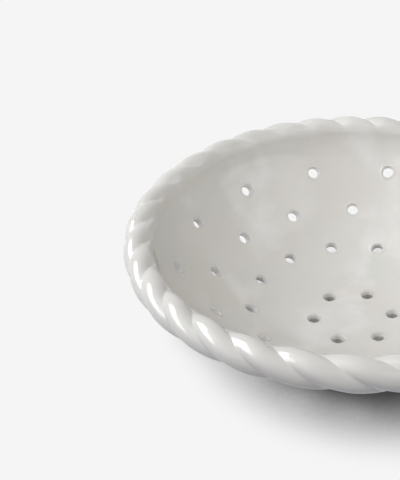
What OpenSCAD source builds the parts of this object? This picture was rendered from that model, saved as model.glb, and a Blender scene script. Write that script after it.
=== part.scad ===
// Berry colander bowl: a pierced stoneware bowl on a foot ring, with a rim of three twisted clay strands.
// Millimetres. The origin is at the middle of the foot's underside, on the table, and +Z is up.

/* [Rope rim] */
// Width over the rope rim
overall_d = 250; // [236:1:280]
// Thickness of the rope
rope_d = 17.4; // [14:0.1:20]
// Depth of the groove between two strands
groove_depth = 2.2; // [1.5:0.1:3.6]
// Full turns that each strand makes on its way round the rim
rope_turns = 11; // [8:1:16]
// Turn of the twist at the right-hand side of the bowl, in degrees
twist_start = 13.5; // [0:0.5:119.5]
// How far the hand-laid twist runs ahead and behind round the rim, in degrees
twist_drift = 3.5; // [0:0.1:4]
// Side of the rim where the drift begins, in degrees
twist_drift_side = 225; // [0:1:359]
// How far the rope's outer side lags behind its middle round the rim, in degrees
twist_skew = 2.4; // [0:0.1:3]
// Depth to which the rope is pressed flat where it sits on the wall
seat_press = 1.3; // [0.8:0.1:1.8]

/* [Bowl wall] */
// Thickness of the straight flank
wall_t = 4.5; // [4:0.5:6]
// Thickness of the floor, from which the wall thins towards the flank
floor_t = 6; // [6:0.5:8]
// Width of the flat middle of the floor
floor_flat_d = 36; // [26:1:44]
// Inside radius of the curve that leads from the floor to the straight flank
curve_r = 92.6; // [84:0.2:98]
// Slope of the straight flank, in degrees
flank_slope = 48.6; // [44:0.1:52]

/* [Drain holes] */
// Width of a drain hole
hole_d = 6.5; // [4:0.1:9]
// Holes in each row of the wall
row_holes = 13; // [8:1:15]
// Distance of the top row below the rim, along the wall
top_row_drop = 19.8; // [15:0.1:24]
// Distance of the middle row below the rim, along the wall
middle_row_drop = 45; // [37:0.1:49]
// Distance of the low row below the rim, along the wall
low_row_drop = 70.8; // [61:0.1:75]
// Turn of the first hole in the top row, in degrees
top_row_start = 20; // [0:0.2:45]
// Turn of the first hole in the middle row, in degrees
middle_row_start = 32.8; // [0:0.2:45]
// Turn of the first hole in the low row, in degrees
low_row_start = 17.8; // [0:0.2:45]
// Holes in the ring on the floor
floor_holes = 6; // [4:1:8]
// Width of the ring of holes on the floor
floor_ring_d = 44.6; // [36:0.2:56]
// Turn of the first hole in the floor, in degrees
floor_start = 5.8; // [0:0.2:59]

/* [Foot] */
// Outer width of the foot ring
foot_d = 98; // [84:1:120]
// Width of the foot ring's wall
foot_w = 7; // [5:0.5:10]
// Clear height under the floor
foot_h = 8; // [5:0.5:14]
// Bevel on the edges that the foot stands on
foot_bevel = 1.2; // [0.5:0.1:2]

/* [Luting coils] */
// Thickness of the coil tucked under the rope on the inside
inside_coil_d = 3; // [2:0.1:4]
// Thickness of the coil tucked under the rope on the outside
outside_coil_d = 3.6; // [2:0.1:5]
// Thickness of the coil round the top of the foot
foot_coil_d = 3.6; // [2:0.1:5]

/* [Hidden] */
$fn = 96;

glaze_white = [0.90, 0.89, 0.86];
glaze_warm = [0.84, 0.83, 0.80];
bare_clay = [0.76, 0.72, 0.66];

// Clearance left between pieces that are luted together
lute_gap = 0.1;
// Overrun of every drill past the wall
overrun = 2;

// The rope: its ring, and one strand's round lobe set off from the rope's middle
strands = 3;
strand_half = 180 / strands;
rope_r = rope_d / 2;
rope_ring_r = overall_d / 2 - rope_r;
groove_r = rope_r - groove_depth;
lobe_off = (rope_r * rope_r - groove_r * groove_r) / (2 * rope_r - groove_r);
lobe_r = rope_r - lobe_off;
seat_to_rope = rope_r - seat_press;
rings_per_turn = 16;
lobe_steps = 8;
rope_rings = rope_turns * rings_per_turn;

// The wall's section: a flat floor, a round curve, and a straight flank up to the rope's seat.
// The underside's curve has its own middle, so that the wall thins evenly from the floor to the flank.
flat_r = floor_flat_d / 2;
floor_z = foot_h + floor_t;
curve_z = floor_z + curve_r;
flank_dir = [cos(flank_slope), sin(flank_slope)];
flank_out = [sin(flank_slope), -cos(flank_slope)];
curve_mid = [flat_r, curve_z];
under_r = curve_r + floor_t;
under_flat_r = flat_r - (floor_t - wall_t) / sin(flank_slope);
under_mid = [under_flat_r, curve_z];
flank_start = curve_mid + (curve_r + wall_t / 2) * flank_out;
flank_to_rope = (rope_ring_r - flank_start[0]) / flank_dir[0];
flank_len = flank_to_rope - seat_to_rope;
rope_mid = flank_start + flank_to_rope * flank_dir;
curve_len = curve_r * flank_slope * PI / 180;
curve_steps = 16;
rim_reach = flat_r + curve_len + flank_len;

foot_r = foot_d / 2;

// Place on the inside of the wall at a distance along it from the middle of the floor:
// the radius, the height and the slope there
function wall_place(along) =
    along <= flat_r ? [along, floor_z, 0]
    : along <= flat_r + curve_len ? curve_place((along - flat_r) / curve_len * flank_slope)
    : flank_place(along - flat_r - curve_len);
function curve_place(slope) =
    [flat_r + curve_r * sin(slope), curve_z - curve_r * cos(slope), slope];
function flank_place(up) =
    let (p = curve_mid + curve_r * flank_out + up * flank_dir) [p[0], p[1], flank_slope];

// Middle of a coil that lies against the wall and against the rope, on the inside (-1) or the outside (1)
function rim_coil_mid(coil_r, side) =
    let (aside = wall_t / 2 + coil_r + lute_gap, away = rope_r + coil_r + lute_gap)
    rope_mid - sqrt(away * away - aside * aside) * flank_dir + side * aside * flank_out;

// Middle of a coil that lies against the foot's outer face and against the bowl's underside
function foot_coil_mid(coil_r) =
    let (aside = foot_r + coil_r + lute_gap, away = under_r + coil_r + lute_gap)
    [aside, curve_z - sqrt(away * away - (aside - under_flat_r) * (aside - under_flat_r))];

// Outer outline of one lobe, at an angle from the strand's middle
function lobe_reach(a) =
    lobe_off * cos(a) + sqrt(lobe_r * lobe_r - lobe_off * lobe_off * sin(a) * sin(a));
// Turn of a strand about the rope's middle, at a side of the rim
function strand_turn(side, strand) =
    twist_start + 360 * strand / strands
    - rope_turns * (side - twist_drift * sin(side - twist_drift_side));
// A point of the rope's section, held back where the rope is pressed onto the wall's seat
function pressed(p) =
    let (depth = seat_to_rope - lute_gap + p * flank_dir)
    depth < 0 ? p - depth * flank_dir : p;
// Section of a strand: its inner corner near the rope's middle, then its lobe
function strand_section(turn) =
    let (trim = asin(lute_gap / 2 / groove_r), span = 2 * (strand_half - trim))
    concat([lute_gap / 2 / sin(strand_half) * [cos(turn), sin(turn)]],
        [for (j = [0 : lobe_steps])
            let (a = span * (j / lobe_steps - 1 / 2))
            pressed(lobe_reach(a) * [cos(turn + a), sin(turn + a)])]);
function strand_ring(i, strand) =
    let (side = 360 * i / rope_rings)
    [for (p = strand_section(strand_turn(side, strand)))
        let (radius = rope_mid[0] + p[0], at = side - twist_skew * p[0] / rope_r)
        [radius * cos(at), radius * sin(at), rope_mid[1] + p[1]]];

// One strand as a closed twisted sweep. The flat sides of neighbours are split along the same diagonal.
module rope_strand(strand) {
    sides = lobe_steps + 2;
    last = sides - 1;
    points = [for (i = [0 : rope_rings - 1]) each strand_ring(i, strand)];
    faces = [for (i = [0 : rope_rings - 1]) let (here = i * sides, next = (i + 1) % rope_rings * sides)
        each concat(
            [for (j = [0 : last - 1]) each [
                [here + j, here + j + 1, next + j + 1],
                [here + j, next + j + 1, next + j]]],
            [[here + last, here, next + last], [here, next, next + last]])];
    color(glaze_white) polyhedron(points, faces, convexity = 12);
}

// Round stretch of the wall's section, from the floor to the flank, about its middle
function wall_curve(mid, r) = [for (i = [0 : curve_steps])
    let (slope = flank_slope * i / curve_steps) mid + r * [sin(slope), -cos(slope)]];

// Half section of the wall: floor, curve and flank, inside and then back along the outside
module wall_section() {
    inner = wall_curve(curve_mid, curve_r);
    outer = wall_curve(under_mid, under_r);
    seat = inner[curve_steps] + flank_len * flank_dir;
    polygon(concat([[0, floor_z]], inner, [seat, seat + wall_t * flank_out],
        [for (i = [0 : curve_steps]) outer[curve_steps - i]], [[0, foot_h]]));
}

// Drill square to the wall, at a distance along it from the middle of the floor
module wall_drill(along, side) {
    place = wall_place(along);
    rotate([0, 0, side]) translate([place[0], 0, place[1]]) rotate([0, -place[2], 0])
        translate([0, 0, -floor_t - overrun]) cylinder(d = hole_d, h = floor_t + 2 * overrun);
}

module drill_row(along, count, start) {
    for (i = [0 : count - 1]) wall_drill(along, start + 360 * i / count);
}

module bowl_body() {
    color(glaze_white) difference() {
        rotate_extrude() wall_section();
        drill_row(floor_ring_d / 2, floor_holes, floor_start);
        drill_row(rim_reach - low_row_drop, row_holes, low_row_start);
        drill_row(rim_reach - middle_row_drop, row_holes, middle_row_start);
        drill_row(rim_reach - top_row_drop, row_holes, top_row_start);
    }
}

module foot_ring() {
    inner = foot_r - foot_w;
    color(bare_clay) rotate_extrude() difference() {
        polygon([[inner, foot_bevel], [inner + foot_bevel, 0], [foot_r - foot_bevel, 0],
            [foot_r, foot_bevel], [foot_r, curve_z], [inner, curve_z]]);
        translate(under_mid) circle(under_r + lute_gap);
    }
}

// A round coil laid in a ring
module ring_coil(mid, coil_r) {
    rotate_extrude() translate(mid) circle(coil_r);
}

module inside_luting_coil() {
    coil_r = inside_coil_d / 2;
    color(glaze_warm) ring_coil(rim_coil_mid(coil_r, -1), coil_r);
}

module outside_luting_coil() {
    coil_r = outside_coil_d / 2;
    color(glaze_warm) ring_coil(rim_coil_mid(coil_r, 1), coil_r);
}

module foot_luting_coil() {
    coil_r = foot_coil_d / 2;
    color(glaze_warm) ring_coil(foot_coil_mid(coil_r), coil_r);
}

bowl_body();
foot_ring();
rope_strand(0);  // rope_strand_1
rope_strand(1);  // rope_strand_2
rope_strand(2);  // rope_strand_3
inside_luting_coil();
outside_luting_coil();
foot_luting_coil();
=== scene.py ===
"""Berry colander bowl in glazed stoneware: the finished surfaces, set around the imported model.

Metres. The origin is at the middle of the foot's underside, on the table, and +Z is up.
"""
import math

import bpy
import mathutils
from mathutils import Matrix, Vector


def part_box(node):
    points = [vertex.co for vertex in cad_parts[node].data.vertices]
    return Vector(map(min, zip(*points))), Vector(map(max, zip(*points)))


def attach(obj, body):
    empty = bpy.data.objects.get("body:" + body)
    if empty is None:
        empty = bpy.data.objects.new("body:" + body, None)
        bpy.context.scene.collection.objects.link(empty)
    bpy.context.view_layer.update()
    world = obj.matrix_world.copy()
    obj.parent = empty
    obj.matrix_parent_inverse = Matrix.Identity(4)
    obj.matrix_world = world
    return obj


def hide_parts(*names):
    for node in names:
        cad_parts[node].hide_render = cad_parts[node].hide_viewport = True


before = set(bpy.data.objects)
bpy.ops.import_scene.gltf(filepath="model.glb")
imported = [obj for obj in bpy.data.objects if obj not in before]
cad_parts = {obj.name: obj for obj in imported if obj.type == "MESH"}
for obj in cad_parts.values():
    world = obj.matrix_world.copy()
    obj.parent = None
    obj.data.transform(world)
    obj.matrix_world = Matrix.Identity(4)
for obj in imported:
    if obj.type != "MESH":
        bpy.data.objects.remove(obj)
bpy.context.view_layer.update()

MM = 0.001

# Sizes that the bowl was thrown to, in metres and degrees. The foot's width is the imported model's.
OVERALL_D = 250 * MM
WALL_T = 4.5 * MM
FLOOR_T = 6 * MM
FLOOR_FLAT_D = 36 * MM
CURVE_R = 92.6 * MM
FLANK_SLOPE = 48.6
FOOT_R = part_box("foot_ring")[1].x
FOOT_W = 7 * MM
FOOT_H = 8 * MM

# The rope: its strands, their turns on the way round the rim, and how unevenly the hand laid them
STRANDS = 3
ROPE_D = 17.4 * MM
GROOVE_DEPTH = 2.2 * MM
ROPE_TURNS = 11
TWIST_START = 13.5
TWIST_DRIFT = 3.5
TWIST_DRIFT_SIDE = 225
TWIST_SKEW = 2.4
SEAT_PRESS = 1.3 * MM
LUTE_GAP = 0.1 * MM

# The drain holes: how far each row of the wall lies below the rim, how wide the ring on the floor is,
# and the side of each row's first hole
HOLE_D = 6.5 * MM
ROW_HOLES = 13
TOP_ROW_DROP = 19.8 * MM
MIDDLE_ROW_DROP = 45 * MM
LOW_ROW_DROP = 70.8 * MM
TOP_ROW_START = 20
MIDDLE_ROW_START = 32.8
LOW_ROW_START = 17.8
FLOOR_HOLES = 6
FLOOR_RING_D = 44.6 * MM
FLOOR_START = 5.8

# The drill: how far its lip turns outwards, and how far it stands clear of the wall
LIP_R = 0.7 * MM
LIP_TURN = 76
DRILL_CLEAR = 1.2 * MM

# The glaze round each hole: its raised bead, and the painted light that makes bore and lip pale, which is
# whole up to a share of the lip and ends at a multiple of the reach of hole and lip
BEAD_W = 1.2 * MM
BEAD_H = 0.3 * MM
BORE_LIGHT_START = 0.5
BORE_LIGHT_REACH = 1.35

# How softly the maker's fingers left each edge and joint
CROWN_LOSS = 0.25 * MM
VALLEY_SOFT = 0.4 * MM
INSIDE_FILLET_R = 28 * MM
OUTSIDE_FILLET_R = 5 * MM
FOOT_FILLET_R = 4 * MM
FOOT_HEEL = 1 * MM
FOOT_SINK = 1 * MM
FOOT_ROUND = 1.5 * MM

# Glaze that fills the valleys under the rope. On the rope's section 0 degrees points out of the bowl, and
# 90 up. The fill is whole up to one angle to either side of its middle, and ends at the other.
VALLEY_FILL = 3.2 * MM
FILL_MIDDLE = 290
FILL_FULL = 35
FILL_REACH = 85

# Clay smeared over the rope's inner side, in the same terms. It lies higher at the back and lower in front.
SMEARED_R = 7.9 * MM
SMEAR_MIDDLE = 179
SMEAR_LIFT = 8
SMEAR_FULL = 18
SMEAR_REACH = 52

# Slow sway of the hand in the whole bowl, which grows with the height above the table.
# Here and below, scales are in cells per metre.
HAND_SWAY = 0.88 * MM
SWAY_HEIGHTS = (4 * MM, 30 * MM)
SWAY_SCALE = 11.0
SWAY_SEED = 3.0

# Unevenness and patchy throwing ridges of the turned pieces, and the heights between which they set in
UNEVENNESS = 0.4 * MM
UNEVEN_SCALE = 30.0
UNEVEN_SEED_STEP = 5.0
RIDGE_HEIGHT = 0.05 * MM
RIDGE_SPACING = 9 * MM
RIDGE_PATCHES = {"scale": 24.0, "detail": 1.0, "start": 0.4, "end": 0.62}
TRACE_HEIGHTS = (1 * MM, 6 * MM)
THROWING_SEED = 4.0

# Finger marks on the rope
FINGER_MARKS = 0.5 * MM
FINGER_SCALE = 42.0
ROLLING_SEED = 2.0

# Steps of the meshes, the distance within which points are welded, and the angle that stays a corner
STEPS_ROUND = 288
FLOOR_STEPS = 9
CURVE_STEPS = 42
FLANK_STEPS = 18
EDGE_STEPS = 8
FOOT_STEPS = 8
FILLET_STEPS = 24
DRILL_STEPS = 40
LIP_STEPS = 6
RINGS_PER_TURN = 60
LOBE_STEPS = 24
WELD = 0.002 * MM
CORNER = 50

# Colours of glaze and clay
BODY_GLAZE = (0.82, 0.81, 0.777, 1)
ROPE_GLAZE = (0.85, 0.842, 0.815, 1)
WARM_GLAZE = (0.82, 0.775, 0.745, 1)
COOL_GLAZE = (0.77, 0.785, 0.75, 1)
# A milky white: the glaze's milky clouds, and the painted light in the holes' bores
MILKY_AND_BORE_LIGHT_GLAZE = (0.905, 0.893, 0.875, 1)
# Darker glaze in the rope's hollows: partly pooled glaze, partly painted shade in the creases
POOLED_AND_SHADED_GLAZE = (0.70, 0.70, 0.665, 1)
IRON_SPECK = (0.55, 0.40, 0.22, 1)
BARE_CLAY = (0.66, 0.60, 0.51, 1)
TOASTED_CLAY = (0.50, 0.37, 0.25, 1)
DARK_GRIT = (0.32, 0.27, 0.22, 1)

# The glaze: its drift from warm to cool, the patches in which that shows, its milky clouds, its sheen from
# glossy to dull, and the shares of pooled glaze with painted crease shade, of painted bore light, and of
# specks
GLAZE_DRIFT = {"scale": 16.0, "detail": 2.0, "seed": 1.0, "start": 0.36, "end": 0.64}
GLAZE_PATCHES = {"scale": 38.0, "detail": 3.0, "seed": 7.0, "start": 0.35, "end": 0.7, "high": 0.8}
MILKY_CLOUDS = {"scale": 30.0, "detail": 5.0, "seed": 13.0, "start": 0.5, "end": 0.68, "high": 0.9}
GLAZE_SHEEN = {
    "scale": 70.0, "detail": 3.0, "seed": 11.0,
    "start": 0.3, "end": 0.75, "low": 0.04, "high": 0.1,
}
# Share of the darker colour in the hollows: pooled glaze and painted crease shade
POOLED_AND_SHADED_SHARE = 0.8
BORE_LIGHT_SHARE = 0.9
IRON_SPECKS = {"scale": 34.0, "radius": 0.45 * MM, "share": 0.05, "seed": 3.0}
IRON_SHARE = 0.75
GLAZE_IOR = 1.6

# Relief of the glaze: its fine peel, and its pinholes
PEEL = {"scale": 420.0, "detail": 2.0, "seed": 2.0}
PEEL_DEPTH = 0.012 * MM
PINHOLES = {"scale": 150.0, "radius": 0.22 * MM, "share": 0.05, "seed": 9.0}
PINHOLE_DEPTH = 0.05 * MM

# The wavering line at which the glaze ends above the table, and the bare, toasted clay under it
GLAZE_LINE = 3.2 * MM
GLAZE_LINE_EDGE = 0.25 * MM
WAVER = 2.4 * MM
WAVER_NOISE = {"scale": 55.0, "detail": 2.0, "seed": 8.0}
TOAST_BAND = 2.2 * MM
TOAST_SHARE = 0.8
CLAY_GRAIN = {"scale": 900.0, "detail": 4.0, "seed": 5.0}
GRAIN_TOAST = {"start": 0.35, "end": 0.75, "high": 0.25}
GRAIN_ROUGHNESS = {"start": 0.3, "end": 0.7, "low": 0.72, "high": 0.9}
GRAIN_DEPTH = 0.08 * MM
GRIT = {"scale": 420.0, "radius": 0.35 * MM, "share": 0.22, "seed": 6.0}
GRIT_SHARE = 0.7
GRIT_DEPTH = 0.1 * MM
CLAY_IOR = 1.45

# The table: its half width, its colour where it is seen, and its colour where it lights the bowl from below
TABLE_HALF = 6.0
TABLE_COLOUR = (0.913, 0.913, 0.913, 1)
TABLE_BOUNCE = (0.22, 0.22, 0.27, 1)

# Soft shadow under the bowl: how far it reaches, the way that the table is open to (sideways, to the front
# or back, and up), how near the middle front turns to back, the shadow's darkest share, and the openness
# from which it lightens and at which it ends
SHADOW_REACH = 120 * MM
SHADOW_SIDE = (-0.33, 0.47, 0.82)
SHADOW_TURNOVER = 30 * MM
SHADOW_DEEPEST = 0.06
SHADOW_DARK = 0.425
SHADOW_LIGHT = 0.7
SHADOW_SAMPLES = 48

# Lamps: the side that each shines from, where 0 is +X and 90 is +Y, its height and its spread, in degrees,
# and its strength. The even ones give the light, and the mirrored ones only what the glaze reflects.
ROOM_LIGHT = 0.09
PLAIN_LIGHT = (1.0, 1.0, 1.0)
WARM_LIGHT = (1.0, 0.97, 0.92)
EVEN_LAMPS = {
    "overhead": (188, 65, 30, 0.22),
    "key": (155, 52, 30, 0.36),
    "left_low": (160, 25, 60, 1.12),
    "left_front": (210, 36, 50, 0.92),
    "right": (335, 38, 50, 0.62, WARM_LIGHT),
    "front": (268, 55, 30, 0.22),
    "back": (74, 60, 20, 0.1),
}
MIRRORED_LAMPS = {
    "softbox": (148, 38, 28, 1.25),
    "softbox_side": (172, 35, 30, 1.2),
    "softbox_front": (194, 31, 26, 0.6),
    "softbox_edge": (165, 53, 47, 0.45),
    "window": (208, 34, 60, 0.5),
    "far_wall": (335, 38, 50, 0.4),
}

# The photograph's view: place in metres, turn in degrees, and lens and frame's long side in millimetres
CAMERA_PLACE = (-0.02209, -0.40787, 0.33767)
CAMERA_TURN = (56.653, 4.354, 5.825)
CAMERA_LENS = 66.95
CAMERA_FRAME = 36

# The rope's section: the middle and the radius of a strand's lobe, off the rope's own middle
rope_r = ROPE_D / 2
groove_r = rope_r - GROOVE_DEPTH
lobe_off = (rope_r ** 2 - groove_r ** 2) / (2 * rope_r - groove_r)
lobe_r = rope_r - lobe_off
seat_to_rope = rope_r - SEAT_PRESS

# The wall's section, as points (radius, height): a flat floor, a round curve, and a straight flank
slope = math.radians(FLANK_SLOPE)
flank_dir = mathutils.Vector((math.cos(slope), math.sin(slope)))
flank_out = mathutils.Vector((math.sin(slope), -math.cos(slope)))
flat_r = FLOOR_FLAT_D / 2
curve_z = FOOT_H + FLOOR_T + CURVE_R
curve_mid = mathutils.Vector((flat_r, curve_z))
under_r = CURVE_R + FLOOR_T
under_flat_r = flat_r - (FLOOR_T - WALL_T) / math.sin(slope)
under_mid = mathutils.Vector((under_flat_r, curve_z))
flank_start = curve_mid + (CURVE_R + WALL_T / 2) * flank_out
flank_to_rope = (OVERALL_D / 2 - rope_r - flank_start.x) / flank_dir.x
flank_len = flank_to_rope - seat_to_rope
rope_mid = flank_start + flank_to_rope * flank_dir
curve_len = CURVE_R * slope
rim_reach = flat_r + curve_len + flank_len

# Each row of holes: its distance along the inside from the bowl's axis, its count and its first hole's side
DRAIN_ROWS = {
    "Top row": (rim_reach - TOP_ROW_DROP, ROW_HOLES, TOP_ROW_START),
    "Middle row": (rim_reach - MIDDLE_ROW_DROP, ROW_HOLES, MIDDLE_ROW_START),
    "Low row": (rim_reach - LOW_ROW_DROP, ROW_HOLES, LOW_ROW_START),
    "Floor ring": (FLOOR_RING_D / 2, FLOOR_HOLES, FLOOR_START),
}


# Node trees, written as sums of fields

class Field:
    """A value that a node works out. A sum or a product of fields adds its own node."""

    def __init__(self, tree, socket):
        self.tree = tree
        self.socket = socket

    def __add__(self, other):
        return self.tree.math("ADD", self, other)

    def __sub__(self, other):
        return self.tree.math("SUBTRACT", self, other)

    def __rsub__(self, other):
        return self.tree.math("SUBTRACT", other, self)

    def __mul__(self, other):
        return self.tree.math("MULTIPLY", self, other)

    def __truediv__(self, other):
        return self.tree.math("DIVIDE", self, other)


class Tree:
    """A node tree, and a short way to add its nodes."""

    def __init__(self, graph):
        self.graph = graph
        graph.nodes.clear()

    def add(self, kind, *values, out=0, named=(), **settings):
        """Adds a node with its settings, and feeds its inputs in order or by name.

        Gives one of its outputs, by number or by name, as a field.
        """
        node = self.graph.nodes.new(kind)
        for name, value in settings.items():
            setattr(node, name, value)
        inputs = [socket for socket in node.inputs if socket.enabled]
        by_name = {socket.name: socket for socket in reversed(inputs)}
        pairs = list(zip(inputs, values)) + [(by_name[name], value) for name, value in dict(named).items()]
        for socket, value in pairs:
            self.feed(socket, value)
        outputs = [socket for socket in node.outputs if socket.enabled]
        if isinstance(out, str):
            return Field(self, next(socket for socket in outputs if socket.name == out))
        return Field(self, outputs[out])

    def feed(self, socket, value):
        """Links a field to an input, or sets the input's own value."""
        if isinstance(value, Field):
            self.graph.links.new(value.socket, socket)
        elif value is not None:
            socket.default_value = value

    def end(self, kind, value):
        """Adds the tree's output node and feeds its first input."""
        self.feed(self.graph.nodes.new(kind).inputs[0], value)

    def math(self, operation, *values):
        return self.add("ShaderNodeMath", *values, operation=operation)

    def sin(self, angle):
        return self.math("SINE", angle)

    def cos(self, angle):
        return self.math("COSINE", angle)

    def root(self, value):
        return self.math("SQRT", value)

    def least(self, first, second):
        return self.math("MINIMUM", first, second)

    def most(self, first, second):
        return self.math("MAXIMUM", first, second)

    def clamp(self, value, low, high):
        return self.add("ShaderNodeClamp", value, low, high)

    def ramp(self, value, start, end, low=0.0, high=1.0):
        """Goes softly from low to high as value goes from start to end."""
        return self.add("ShaderNodeMapRange", value, start, end, low, high, interpolation_type="SMOOTHSTEP")

    def vector(self, x, y, z):
        return self.add("ShaderNodeCombineXYZ", x, y, z)

    def parts(self, vector):
        """The x, y and z of a vector."""
        node = self.add("ShaderNodeSeparateXYZ", vector).socket.node
        return [Field(self, socket) for socket in node.outputs]

    def scaled(self, vector, share):
        return self.add("ShaderNodeVectorMath", vector, named={"Scale": share}, operation="SCALE")

    def round_axis(self, radius, turn, height):
        """The point at a radius and a turn about the bowl's axis, and at a height."""
        return self.vector(radius * self.cos(turn), radius * self.sin(turn), height)

    def noise(self, place, scale, detail, seed, out="Fac"):
        return self.add("ShaderNodeTexNoise", place, seed, scale, detail, out=out, noise_dimensions="4D")

    def cloud(self, place, start, end, low=0.0, high=1.0, **pattern):
        """Soft patches, which go from low to high between two values of a noise."""
        return self.ramp(self.noise(place, **pattern), start, end, low, high)


class Making(Tree):
    """A geometry tree with named inputs, which ends as one real mesh in one material."""

    def __init__(self, name, inputs):
        super().__init__(bpy.data.node_groups.new(name, "GeometryNodeTree"))
        face = self.graph.interface
        face.new_socket("Geometry", in_out="OUTPUT", socket_type="NodeSocketGeometry")
        kinds = {"Geometry": "Geometry"} | inputs | {"Glaze": "Material"}
        for label, kind in kinds.items():
            face.new_socket(label, in_out="INPUT", socket_type="NodeSocket" + kind)
        entry = self.graph.nodes.new("NodeGroupInput")
        self.inputs = {socket.name: Field(self, socket) for socket in entry.outputs if socket.name}

    def __getitem__(self, label):
        return self.inputs[label]

    def place(self):
        return self.add("GeometryNodeInputPosition")

    def move(self, geometry, position=None, offset=None):
        named = {"Position": position, "Offset": offset}
        return self.add("GeometryNodeSetPosition", geometry, named=named)

    def weld(self, geometry):
        return self.add("GeometryNodeMergeByDistance", geometry, named={"Distance": WELD})

    def keep(self, geometry, label, value):
        """Stores a value on the mesh for its material to read."""
        named = {"Name": label, "Value": value}
        return self.add("GeometryNodeStoreNamedAttribute", geometry, named=named,
                        data_type="FLOAT", domain="POINT")

    def grid(self, across, along):
        """A grid of points, with each point's step across and along."""
        mesh = self.add("GeometryNodeMeshGrid", 1.0, 1.0, across, along)
        x, y, _ = self.parts(self.place())
        step_across = self.math("ROUND", (x + 0.5) * (across - 1))
        step_along = self.math("ROUND", (y + 0.5) * (along - 1))
        return mesh, step_across, step_along

    def join(self, geometries):
        joined = self.graph.nodes.new("GeometryNodeJoinGeometry")
        for geometry in geometries:
            self.feed(joined.inputs[0], geometry)
        return Field(self, joined.outputs[0])

    def sway(self, geometry):
        """Moves every piece by the same slow sway of the maker's hand, and leaves it flat on the table."""
        place = self.place()
        noise = self.noise(place, SWAY_SCALE, 0.0, SWAY_SEED, out="Color")
        drift = self.add("ShaderNodeVectorMath", noise, (0.5, 0.5, 0.5), operation="SUBTRACT")
        reach = self.ramp(self.parts(place)[2], *SWAY_HEIGHTS, high=HAND_SWAY)
        return self.move(geometry, offset=self.scaled(drift, reach))

    def finish(self, geometry):
        """Ends the tree: welded, smooth but for true corners, real and glazed."""
        smooth = self.add("GeometryNodeSetShadeSmooth", self.weld(geometry))
        angle = self.add("GeometryNodeInputMeshEdgeAngle")
        corner = self.add("FunctionNodeCompare", angle, math.radians(CORNER), operation="GREATER_THAN")
        edged = self.add("GeometryNodeSetShadeSmooth", smooth,
                         named={"Selection": corner, "Shade Smooth": False}, domain="EDGE")
        real = self.add("GeometryNodeRealizeInstances", edged)
        glazed = self.add("GeometryNodeSetMaterial", real, named={"Material": self["Glaze"]})
        self.end("NodeGroupOutput", glazed)
        return self.graph


def make_piece(name, making, glaze, sizes, start=None):
    """Runs a making tree once and keeps what it makes as a plain mesh at the origin."""
    source = bpy.data.objects.new(name + "_making", start or bpy.data.meshes.new(name + "_start"))
    bpy.context.scene.collection.objects.link(source)
    modifier = source.modifiers.new("making", "NODES")
    modifier.node_group = making
    values = dict(sizes, Glaze=glaze)
    for item in making.interface.items_tree:
        if item.item_type == "SOCKET" and item.in_out == "INPUT" and item.name in values:
            modifier[item.identifier] = values[item.name]
    bpy.context.view_layer.update()
    seen = source.evaluated_get(bpy.context.evaluated_depsgraph_get())
    mesh = bpy.data.meshes.new_from_object(seen)
    bpy.data.objects.remove(source)
    mesh.name = name
    piece = bpy.data.objects.new(name, mesh)
    bpy.context.scene.collection.objects.link(piece)
    return piece


# Sections, as points (radius, height)

def arc(mid, radius, start, end, steps):
    """Points along an arc about mid, from one angle to another, in degrees."""
    turns = [math.radians(start + (end - start) * i / steps) for i in range(steps + 1)]
    return [(mid[0] + radius * math.cos(turn), mid[1] + radius * math.sin(turn)) for turn in turns]


def along_line(first, last, steps):
    """Points between two points, without the two themselves."""
    shares = [i / steps for i in range(1, steps)]
    return [(first[0] + (last[0] - first[0]) * t, first[1] + (last[1] - first[1]) * t) for t in shares]


def section_mesh(name, points):
    """A chain of points in the XZ plane, from which a piece is turned.

    It runs clockwise, so that the turned faces look out of the clay.
    """
    area = sum(a[0] * b[1] - b[0] * a[1] for a, b in zip(points, points[1:] + points[:1]))
    if area > 0:
        points = points[::-1]
    mesh = bpy.data.meshes.new(name)
    edges = [(i, i + 1) for i in range(len(points) - 1)]
    mesh.from_pydata([(radius, 0, height) for radius, height in points], edges, [])
    return mesh


def wall_face(mid, radius, depth):
    """One face of the wall, from the axis to the rope's seat. Its flank lies at a depth in the wall."""
    low = (0, curve_z - radius)
    curve = arc(mid, radius, -90, FLANK_SLOPE - 90, CURVE_STEPS)
    top = tuple(curve_mid + (CURVE_R + depth) * flank_out + flank_len * flank_dir)
    floor = [low] + along_line(low, curve[0], FLOOR_STEPS)
    flank = along_line(curve[-1], top, FLANK_STEPS) + [top]
    return floor + curve + flank


def wall_outline():
    """The wall's whole section: up the inside, over its rounded edge, and down the outside."""
    inside = wall_face(curve_mid, CURVE_R, 0)
    outside = wall_face(under_mid, under_r, WALL_T)
    edge_mid = flank_start + flank_len * flank_dir
    edge = arc(edge_mid, WALL_T / 2, FLANK_SLOPE + 90, FLANK_SLOPE - 90, EDGE_STEPS)
    return inside + edge[1:-1] + outside[::-1]


def wall_place(along):
    """Radius, height and slope in the middle of the wall, and its thickness there.

    The distance along runs on the wall's inside, from the bowl's axis.
    """
    up = max(along - flat_r - curve_len, 0)
    tilt = min(max(along - flat_r, 0) / CURVE_R, slope)
    out = mathutils.Vector((math.sin(tilt), -math.cos(tilt)))
    thick = FLOOR_T - (FLOOR_T - WALL_T) * math.sin(tilt) / math.sin(slope)
    place = curve_mid + (CURVE_R + thick / 2) * out + up * flank_dir
    return place.x - flat_r + min(along, flat_r), place.y, tilt, thick


def drill_outline():
    """Half the drill's section: straight through the wall, rounding both lips, and flaring clear of it."""
    lip_mid = (HOLE_D / 2 + LIP_R, WALL_T / 2 - LIP_R)
    lip = arc(lip_mid, LIP_R, 180, 180 - LIP_TURN, LIP_STEPS)
    lip_end, lip_top = lip[-1]
    rise = WALL_T / 2 + DRILL_CLEAR - lip_top
    flare = (lip_end + rise * math.tan(math.radians(LIP_TURN)), WALL_T / 2 + DRILL_CLEAR)
    upper = lip + [flare, (0, flare[1])]
    return [(radius, -height) for radius, height in upper[::-1]] + upper


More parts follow.
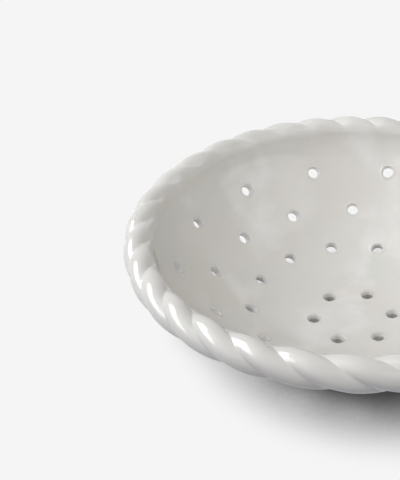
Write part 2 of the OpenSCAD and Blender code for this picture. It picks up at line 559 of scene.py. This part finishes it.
def foot_outline():
    """The foot's section: rounded where it stands, and sunk a little into the underside of the bowl."""
    inner = FOOT_R - FOOT_W
    reach = under_r - FOOT_SINK
    outer_top = (FOOT_R, curve_z - math.sqrt(reach ** 2 - (FOOT_R - under_flat_r) ** 2))
    inner_top = (inner, curve_z - math.sqrt(reach ** 2 - (inner - under_flat_r) ** 2))
    outer_edge = arc((FOOT_R - FOOT_ROUND, FOOT_ROUND), FOOT_ROUND, -90, 0, EDGE_STEPS)
    inner_edge = arc((inner + FOOT_ROUND, FOOT_ROUND), FOOT_ROUND, 180, 270, EDGE_STEPS)
    outer_wall = along_line(outer_edge[-1], outer_top, FOOT_STEPS) + [outer_top]
    inner_wall = [inner_top] + along_line(inner_top, inner_edge[0], FOOT_STEPS)
    return inner_edge + outer_edge + outer_wall + inner_wall + [inner_edge[0]]


def fillet_outline(ball, ball_r, start, end, heel):
    """A smeared fillet: the hollow that a ball leaves, closed behind through a heel inside the joint."""
    face = arc(ball, ball_r, start, end, FILLET_STEPS)
    return face + [heel, face[0]]


def rope_fillet_outline(ball_r, touch_r, side):
    """Fillet between the rope and the wall, inside the bowl (-1) or outside it (1)."""
    aside = WALL_T / 2 + ball_r
    away = math.sqrt((touch_r + ball_r) ** 2 - aside ** 2)
    ball = rope_mid - away * flank_dir + side * aside * flank_out
    to_rope = rope_mid - ball
    to_wall = -side * flank_out
    start, end = [math.degrees(math.atan2(way.y, way.x)) for way in (to_rope, to_wall)]
    heel = rope_mid - touch_r * flank_dir
    return fillet_outline(ball, ball_r, start, end, tuple(heel))


def foot_fillet_outline(ball_r):
    """Fillet between the foot's outer face and the underside of the bowl."""
    aside = FOOT_R + ball_r - under_flat_r
    ball = mathutils.Vector((FOOT_R + ball_r, curve_z - math.sqrt((under_r + ball_r) ** 2 - aside ** 2)))
    to_bowl = under_mid - ball
    heel = (FOOT_R - FOOT_HEEL, ball.y + ball_r)
    return fillet_outline(ball, ball_r, 180, math.degrees(math.atan2(to_bowl.y, to_bowl.x)), heel)


# Making trees

def turned_making():
    """Turns a section on the wheel, with throwing ridges and the slight unevenness of a hand-made wall."""
    made = Making("turned_on_the_wheel", {
        "Steps round": "Int",
        "Unevenness": "Float",
        "Ridge height": "Float",
        "Ridge spacing": "Float",
        "Seed": "Float",
    })
    points = made.add("GeometryNodeAttributeDomainSize", made["Geometry"], out="Point Count")
    mesh, step, turn_step = made.grid(points, made["Steps round"] + 1)
    section = made.add("GeometryNodeSampleIndex", made["Geometry"], made.place(), step,
                       data_type="FLOAT_VECTOR")
    radius, _, height = made.parts(section)
    turn = turn_step / made["Steps round"] * math.tau
    turned = made.weld(made.move(mesh, position=made.round_axis(radius, turn, height)))

    x, y, z = made.parts(made.place())
    width = made.root(x * x + y * y)
    coil = (width + z) / made["Ridge spacing"] * math.tau + made.math("ARCTAN2", y, x)
    patchy = made.cloud(made.place(), seed=made["Seed"], **RIDGE_PATCHES)
    ridge = made.sin(coil) * made["Ridge height"] * patchy
    lumps = made.noise(made.place(), UNEVEN_SCALE, 1.0, made["Seed"] + UNEVEN_SEED_STEP)
    uneven = (lumps - 0.5) * made["Unevenness"]
    normal = made.add("GeometryNodeInputNormal")
    push = made.scaled(normal, (ridge + uneven) * made.ramp(z, *TRACE_HEIGHTS))
    return made.finish(made.sway(made.move(turned, offset=push)))


def drain_making():
    """Cuts the rows of drain holes through a wall, with a round-lipped drill held square to it."""
    inputs = {"Drill": "Object", "Bore radius": "Float", "Lip radius": "Float"}
    for row in DRAIN_ROWS:
        inputs[row + " holes"] = "Int"
        for size in ("first hole", "radius", "height", "slope", "depth"):
            inputs[row + " " + size] = "Float"
    made = Making("drain_holes", inputs)
    drill = made.add("GeometryNodeObjectInfo", made["Drill"], out="Geometry")
    index = made.add("GeometryNodeInputIndex")
    cutters = []
    middles = []
    for row in DRAIN_ROWS:
        turn = made[row + " first hole"] + index * math.tau / made[row + " holes"]
        place = made.round_axis(made[row + " radius"], turn, made[row + " height"])
        points = made.add("GeometryNodePoints", made[row + " holes"], place)
        tilt = made.vector(0.0, made[row + " slope"] * -1.0, turn)
        facing = made.add("FunctionNodeEulerToRotation", tilt)
        reach = made.vector(1.0, 1.0, made[row + " depth"])
        drilled = {"Instance": drill, "Rotation": facing, "Scale": reach}
        middles.append(points)
        cutters.append(made.add("GeometryNodeInstanceOnPoints", points, named=drilled))
    cut = made.add("GeometryNodeMeshBoolean", made["Geometry"], made.join(cutters),
                   operation="DIFFERENCE", solver="MANIFOLD")
    # Painted light: the glaze in and round each bore is painted pale, fading out past the lip
    from_bore = made.add("GeometryNodeProximity", made.join(middles), out="Distance",
                         target_element="POINTS")
    bore_light_from = made["Bore radius"] + made["Lip radius"] * BORE_LIGHT_START
    bore_light_to = (made["Bore radius"] + made["Lip radius"]) * BORE_LIGHT_REACH
    return made.finish(made.keep(cut, "bore", 1.0 - made.ramp(from_bore, bore_light_from, bore_light_to)))


def strand_making():
    """One strand of the twisted rope: a lobe that winds round the rope as the rope goes round the rim."""
    steps = ["Rings", "Lobe steps"]
    sizes = ["Ring radius", "Ring height", "Lobe offset", "Lobe radius", "Turns", "Twist start",
             "Twist drift", "Drift side", "Twist skew", "Seat distance", "Seat slope", "Valley softness",
             "Valley fill", "Fill middle", "Fill full", "Fill reach", "Smear middle", "Smear lift",
             "Smear full", "Smear reach", "Smeared radius", "Crown loss", "Finger marks", "Seed"]
    made = Making("twisted_strand", {label: "Int" for label in steps} | {label: "Float" for label in sizes})
    mesh, ring, step = made.grid(made["Rings"] + 1, made["Lobe steps"] + 3)

    side = ring / made["Rings"] * math.tau
    drift = made.sin(side - made["Drift side"]) * made["Twist drift"]
    turn = made["Twist start"] - made["Turns"] * (side - drift)
    share = made.clamp((step - 1.0) / made["Lobe steps"] - 0.5, -0.5, 0.5)
    across = made.math("RADIANS", share * 360 / STRANDS)
    angle = turn + across
    # The first and last points of each ring lie in the rope's middle, the others on the lobe
    on_lobe = made.clamp(made.least(step, made["Lobe steps"] + 2.0 - step), 0.0, 1.0)

    def lobe(away):
        """How far a strand reaches from the rope's middle, at an angle away from its own middle."""
        drop = made["Lobe offset"] * made.sin(away)
        radius = made["Lobe radius"]
        return made["Lobe offset"] * made.cos(away) + made.root(radius * radius - drop * drop)

    def share_near(middle, label):
        """Is 1 near one side of the rope's section, and falls to 0 further round it."""
        nearness = made.cos(angle - middle)
        return made.ramp(nearness, made.cos(made[label + " reach"]), made.cos(made[label + " full"]))

    own = lobe(across)
    neighbour = lobe(math.tau / STRANDS - made.math("ABSOLUTE", across))
    softness = made["Valley softness"] + made["Valley fill"] * share_near(made["Fill middle"], "Fill")
    lobed = made.math("SMOOTH_MAX", own, neighbour, softness) - made["Crown loss"]
    smear = share_near(made["Smear middle"] - made["Smear lift"] * made.sin(side), "Smear")
    reach = lobed + (made["Smeared radius"] - lobed) * smear

    def rope_point(length):
        """A point at a length from the rope's middle, held back where the rope is pressed onto its seat."""
        out = length * made.cos(angle)
        up = length * made.sin(angle)
        seat_out = made.cos(made["Seat slope"])
        seat_up = made.sin(made["Seat slope"])
        press = made.least(made["Seat distance"] + out * seat_out + up * seat_up, 0.0)
        pressed_out = out - press * seat_out
        pressed_up = up - press * seat_up
        lagging = side - pressed_out * made["Twist skew"]
        return made.round_axis(made["Ring radius"] + pressed_out, lagging, made["Ring height"] + pressed_up)

    dents = made.noise(rope_point(reach), FINGER_SCALE, 1.0, made["Seed"])
    marks = (dents - 0.5) * made["Finger marks"]
    wound = made.move(mesh, position=rope_point((reach + marks) * on_lobe))
    crown = made["Lobe offset"] + made["Lobe radius"] - made["Crown loss"]
    # How deep each point lies in a groove, by which the glaze is darkened with pooled glaze and painted
    # crease shade
    hollow = (crown - lobed) * (1.0 - smear) / GROOVE_DEPTH
    return made.finish(made.sway(made.keep(wound, "hollow", hollow)))


# Finishes, written as colours, gloss and relief on the piece's own coordinates

class Finish(Tree):
    """A material made of nodes that read the piece's own coordinates and the values kept on its mesh."""

    def __init__(self, name):
        self.material = bpy.data.materials.new(name)
        self.material.use_nodes = True
        super().__init__(self.material.node_tree)
        self.here = self.add("ShaderNodeTexCoord", out="Object")

    def kept(self, label):
        return self.add("ShaderNodeAttribute", out="Fac", attribute_name=label)

    def blend(self, share, first, second):
        named = {"Factor": share, "A": first, "B": second}
        return self.add("ShaderNodeMix", named=named, data_type="RGBA")

    def relief(self, height, depth, under=None):
        """Bump from a height of 0 to 1, at its real depth, over another relief."""
        return self.add("ShaderNodeBump", named={"Height": height, "Distance": depth, "Normal": under})

    def specks(self, scale, radius, share, seed):
        """Round specks of one radius, in a share of the cells of a loose grid."""
        place = self.add("ShaderNodeVectorMath", self.here, (seed, seed, seed), operation="ADD")
        near = self.add("ShaderNodeTexVoronoi", place, named={"Scale": scale}, out="Distance")
        cell_colour = self.add("ShaderNodeTexVoronoi", place, named={"Scale": scale}, out="Color")
        chosen = self.math("LESS_THAN", self.parts(cell_colour)[0], share)
        return self.ramp(near, radius * scale * 0.5, radius * scale, 1.0, 0.0) * chosen

    def coat(self, colour, roughness, normal, ior):
        named = {"Base Color": colour, "Roughness": roughness, "Normal": normal, "IOR": ior}
        return self.add("ShaderNodeBsdfPrincipled", named=named)

    def wear(self, shader):
        self.end("ShaderNodeOutputMaterial", shader)
        return self.material


def glaze_beads(finish):
    """The raised bead of glaze round each hole on the inside, from 0 to 1."""
    x, y, z = finish.parts(finish.here)
    side = finish.math("ARCTAN2", y, x)
    squares = []
    for along, count, first in DRAIN_ROWS.values():
        wall_radius, wall_height, tilt, thick = wall_place(along)
        radius = wall_radius - math.sin(tilt) * thick / 2
        height = wall_height + math.cos(tilt) * thick / 2
        step = math.tau / count
        start = math.radians(first)
        turn = finish.math("ROUND", (side - start) / step) * step + start
        gap_x = x - finish.cos(turn) * radius
        gap_y = y - finish.sin(turn) * radius
        gap_z = z - height
        squares.append(gap_x * gap_x + gap_y * gap_y + gap_z * gap_z)
    nearest = squares[0]
    for square in squares[1:]:
        nearest = finish.least(nearest, square)
    distance = finish.root(nearest)
    lip = HOLE_D / 2 + LIP_R
    rising = finish.ramp(distance, lip - BEAD_W / 2, lip)
    falling = finish.ramp(distance, lip, lip + BEAD_W)
    return rising * (1.0 - falling)


def glaze_coat(finish, body):
    """Glossy stoneware glaze: warm, cool and milky by turns, darker in hollows with pooled glaze and
    painted shade, and painted pale in the holes as painted light.
    """
    here = finish.here
    tint = finish.blend(finish.cloud(here, **GLAZE_DRIFT), WARM_GLAZE, COOL_GLAZE)
    colour = finish.blend(finish.cloud(here, **GLAZE_PATCHES), body, tint)
    colour = finish.blend(finish.cloud(here, **MILKY_CLOUDS), colour, MILKY_AND_BORE_LIGHT_GLAZE)
    # Darker in the rope's hollows: pooled glaze and painted crease shade
    colour = finish.blend(finish.kept("hollow") * POOLED_AND_SHADED_SHARE, colour, POOLED_AND_SHADED_GLAZE)
    # Painted light: paler in the holes' bores and lips
    colour = finish.blend(finish.kept("bore") * BORE_LIGHT_SHARE, colour, MILKY_AND_BORE_LIGHT_GLAZE)
    colour = finish.blend(finish.specks(**IRON_SPECKS) * IRON_SHARE, colour, IRON_SPECK)
    peel = finish.relief(finish.noise(here, **PEEL), PEEL_DEPTH)
    pitted = finish.relief(1.0 - finish.specks(**PINHOLES), PINHOLE_DEPTH, peel)
    beaded = finish.relief(glaze_beads(finish), BEAD_H, pitted)
    return finish.coat(colour, finish.cloud(here, **GLAZE_SHEEN), beaded, GLAZE_IOR)


def clay_coat(finish):
    """Bare sponged stoneware: a fine grain, darker grit, and a toasted edge under the glaze."""
    grain = finish.noise(finish.here, **CLAY_GRAIN)
    grit = finish.specks(**GRIT)
    height = finish.parts(finish.here)[2]
    toast = finish.ramp(height, GLAZE_LINE - TOAST_BAND, GLAZE_LINE, high=TOAST_SHARE)
    colour = finish.blend(toast, BARE_CLAY, TOASTED_CLAY)
    colour = finish.blend(finish.ramp(grain, **GRAIN_TOAST), colour, TOASTED_CLAY)
    colour = finish.blend(grit * GRIT_SHARE, colour, DARK_GRIT)
    relief = finish.relief(grain, GRAIN_DEPTH, finish.relief(grit, GRIT_DEPTH))
    return finish.coat(colour, finish.ramp(grain, **GRAIN_ROUGHNESS), relief, CLAY_IOR)


def glaze_finish(name, body):
    finish = Finish(name)
    return finish.wear(glaze_coat(finish, body))


def foot_finish(name):
    """Glaze down to a wavering line above the table, and bare clay where the bowl stands."""
    finish = Finish(name)
    waver = (finish.noise(finish.here, **WAVER_NOISE) - 0.5) * WAVER
    height = finish.parts(finish.here)[2] + waver
    above = finish.ramp(height, GLAZE_LINE, GLAZE_LINE + GLAZE_LINE_EDGE)
    both = finish.add("ShaderNodeMixShader", above, clay_coat(finish), glaze_coat(finish, BODY_GLAZE))
    return finish.wear(both)


white_glaze = glaze_finish("white_glaze", BODY_GLAZE)
rope_glaze = glaze_finish("rope_glaze", ROPE_GLAZE)
foot_clay = foot_finish("foot_clay")


# Pieces

TURNED = turned_making()
TURNED_SIZES = {
    "Steps round": STEPS_ROUND,
    "Unevenness": UNEVENNESS,
    "Ridge height": RIDGE_HEIGHT,
    "Ridge spacing": RIDGE_SPACING,
    "Seed": THROWING_SEED,
}
DRILL_SIZES = {"Steps round": DRILL_STEPS, "Unevenness": 0.0, "Ridge height": 0.0}

STRAND = strand_making()
STRAND_ANGLES = {
    "Twist drift": TWIST_DRIFT,
    "Drift side": TWIST_DRIFT_SIDE,
    "Seat slope": FLANK_SLOPE,
    "Fill middle": FILL_MIDDLE,
    "Fill full": FILL_FULL,
    "Fill reach": FILL_REACH,
    "Smear middle": SMEAR_MIDDLE,
    "Smear lift": SMEAR_LIFT,
    "Smear full": SMEAR_FULL,
    "Smear reach": SMEAR_REACH,
}
STRAND_SIZES = {
    "Rings": ROPE_TURNS * RINGS_PER_TURN,
    "Lobe steps": LOBE_STEPS,
    "Ring radius": rope_mid.x,
    "Ring height": rope_mid.y,
    "Lobe offset": lobe_off,
    "Lobe radius": lobe_r,
    "Turns": float(ROPE_TURNS),
    "Twist skew": math.radians(TWIST_SKEW) / rope_r,
    "Seat distance": seat_to_rope - LUTE_GAP,
    "Valley softness": VALLEY_SOFT,
    "Valley fill": VALLEY_FILL,
    "Smeared radius": SMEARED_R,
    "Crown loss": CROWN_LOSS,
    "Finger marks": FINGER_MARKS,
    "Seed": ROLLING_SEED,
} | {label: math.radians(angle) for label, angle in STRAND_ANGLES.items()}


def show(piece, node):
    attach(piece, "root")
    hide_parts(node)


def turned_piece(name, outline, glaze, changes=()):
    sizes = TURNED_SIZES | dict(changes)
    return make_piece(name, TURNED, glaze, sizes, section_mesh(name + "_section", outline))


def drilled_bowl():
    """The thrown wall, cut through by the rows of drain holes."""
    drill = turned_piece("drill", drill_outline(), white_glaze, DRILL_SIZES)
    wall = turned_piece("thrown_wall", wall_outline(), white_glaze)
    sizes = {"Drill": drill, "Bore radius": HOLE_D / 2, "Lip radius": LIP_R}
    for row, (along, count, first) in DRAIN_ROWS.items():
        radius, height, tilt, thick = wall_place(along)
        sizes[row + " holes"] = count
        sizes[row + " first hole"] = math.radians(first)
        sizes[row + " radius"] = radius
        sizes[row + " height"] = height
        sizes[row + " slope"] = tilt
        sizes[row + " depth"] = thick / WALL_T
    bowl = make_piece("drilled_bowl", drain_making(), white_glaze, sizes, wall.data)
    for helper in (drill, wall):
        bpy.data.objects.remove(helper)
    return bowl


show(drilled_bowl(), "bowl_body")
show(turned_piece("glazed_foot", foot_outline(), foot_clay), "foot_ring")

inside_smear = rope_fillet_outline(INSIDE_FILLET_R, SMEARED_R, -1)
outside_smear = rope_fillet_outline(OUTSIDE_FILLET_R, rope_r - GROOVE_DEPTH / 2, 1)
foot_smear = foot_fillet_outline(FOOT_FILLET_R)
show(turned_piece("inside_smear", inside_smear, white_glaze), "inside_luting_coil")
show(turned_piece("outside_smear", outside_smear, white_glaze), "outside_luting_coil")
show(turned_piece("foot_smear", foot_smear, white_glaze), "foot_luting_coil")

for strand in range(STRANDS):
    sizes = STRAND_SIZES | {"Twist start": math.radians(TWIST_START + 360 * strand / STRANDS)}
    piece = make_piece(f"glazed_strand_{strand + 1}", STRAND, rope_glaze, sizes)
    show(piece, f"rope_strand_{strand + 1}")


# Table, light and camera

def seen_rays(tree):
    """Is 1 for the camera's rays, and for those that a gloss mirrors or lets through."""
    labels = ("Is Camera Ray", "Is Glossy Ray", "Is Transmission Ray")
    camera, gloss, passed = [tree.add("ShaderNodeLightPath", out=label) for label in labels]
    return tree.most(camera, tree.most(gloss, passed))


def table_finish():
    """Plain pale table, which lights the bowl from below as a matt one does.

    Where it is seen it has the backdrop's own pale grey, darkened where the bowl stands over it.
    """
    finish = Finish("pale_table")
    left, away, up = SHADOW_SIDE
    depth = finish.parts(finish.here)[1]
    front_or_back = finish.ramp(depth, -SHADOW_TURNOVER, SHADOW_TURNOVER, -away, away)
    towards = finish.vector(left, front_or_back, up)
    openness = finish.add("ShaderNodeAmbientOcclusion", out="AO", samples=SHADOW_SAMPLES,
                          named={"Distance": SHADOW_REACH, "Normal": towards})
    lit = finish.ramp(openness, SHADOW_DARK, SHADOW_LIGHT, SHADOW_DEEPEST)
    shown = finish.add("ShaderNodeEmission", TABLE_COLOUR, lit)
    real = finish.add("ShaderNodeBsdfDiffuse", TABLE_BOUNCE)
    return finish.wear(finish.add("ShaderNodeMixShader", seen_rays(finish), real, shown))


def lay_table(half):
    corners = [(-half, -half, 0), (half, -half, 0), (half, half, 0), (-half, half, 0)]
    mesh = bpy.data.meshes.new("table")
    mesh.from_pydata(corners, [], [(0, 1, 2, 3)])
    mesh.materials.append(table_finish())
    table = bpy.data.objects.new("table", mesh)
    bpy.context.scene.collection.objects.link(table)


def light_room(strength):
    """Even light from the room, and the pale backdrop that the camera and reflections see."""
    room = bpy.data.worlds.new("room")
    room.use_nodes = True
    tree = Tree(room.node_tree)
    light = tree.add("ShaderNodeBackground", (1, 1, 1, 1), strength)
    backdrop = tree.add("ShaderNodeBackground", TABLE_COLOUR, 1.0)
    tree.end("ShaderNodeOutputWorld", tree.add("ShaderNodeMixShader", seen_rays(tree), light, backdrop))
    bpy.context.scene.world = room


def soft_lamp(name, side, height, spread, strength, colour=PLAIN_LIGHT):
    """A wide soft lamp, far away. Its side, height and spread are in degrees."""
    lamp = bpy.data.lights.new(name, "SUN")
    lamp.angle = math.radians(spread)
    lamp.energy = strength
    lamp.color = colour
    shining = bpy.data.objects.new(name, lamp)
    turn = math.radians(side)
    rise = math.radians(height)
    level = math.cos(rise)
    towards = mathutils.Vector((math.cos(turn) * level, math.sin(turn) * level, math.sin(rise)))
    shining.rotation_euler = towards.to_track_quat("Z", "Y").to_euler()
    bpy.context.scene.collection.objects.link(shining)
    return shining


def set_camera(place, turn, lens):
    view = bpy.data.cameras.new("camera")
    view.lens = lens
    view.sensor_width = CAMERA_FRAME
    view.clip_start = 0.01
    view.clip_end = 50
    camera = bpy.data.objects.new("camera", view)
    camera.location = place
    camera.rotation_euler = [math.radians(angle) for angle in turn]
    bpy.context.scene.collection.objects.link(camera)
    bpy.context.scene.camera = camera


lay_table(TABLE_HALF)
light_room(ROOM_LIGHT)
for name, setting in EVEN_LAMPS.items():
    soft_lamp(name, *setting).visible_glossy = False
for name, setting in MIRRORED_LAMPS.items():
    soft_lamp(name, *setting).visible_diffuse = False
set_camera(CAMERA_PLACE, CAMERA_TURN, CAMERA_LENS)
bpy.context.scene.view_settings.view_transform = "Standard"
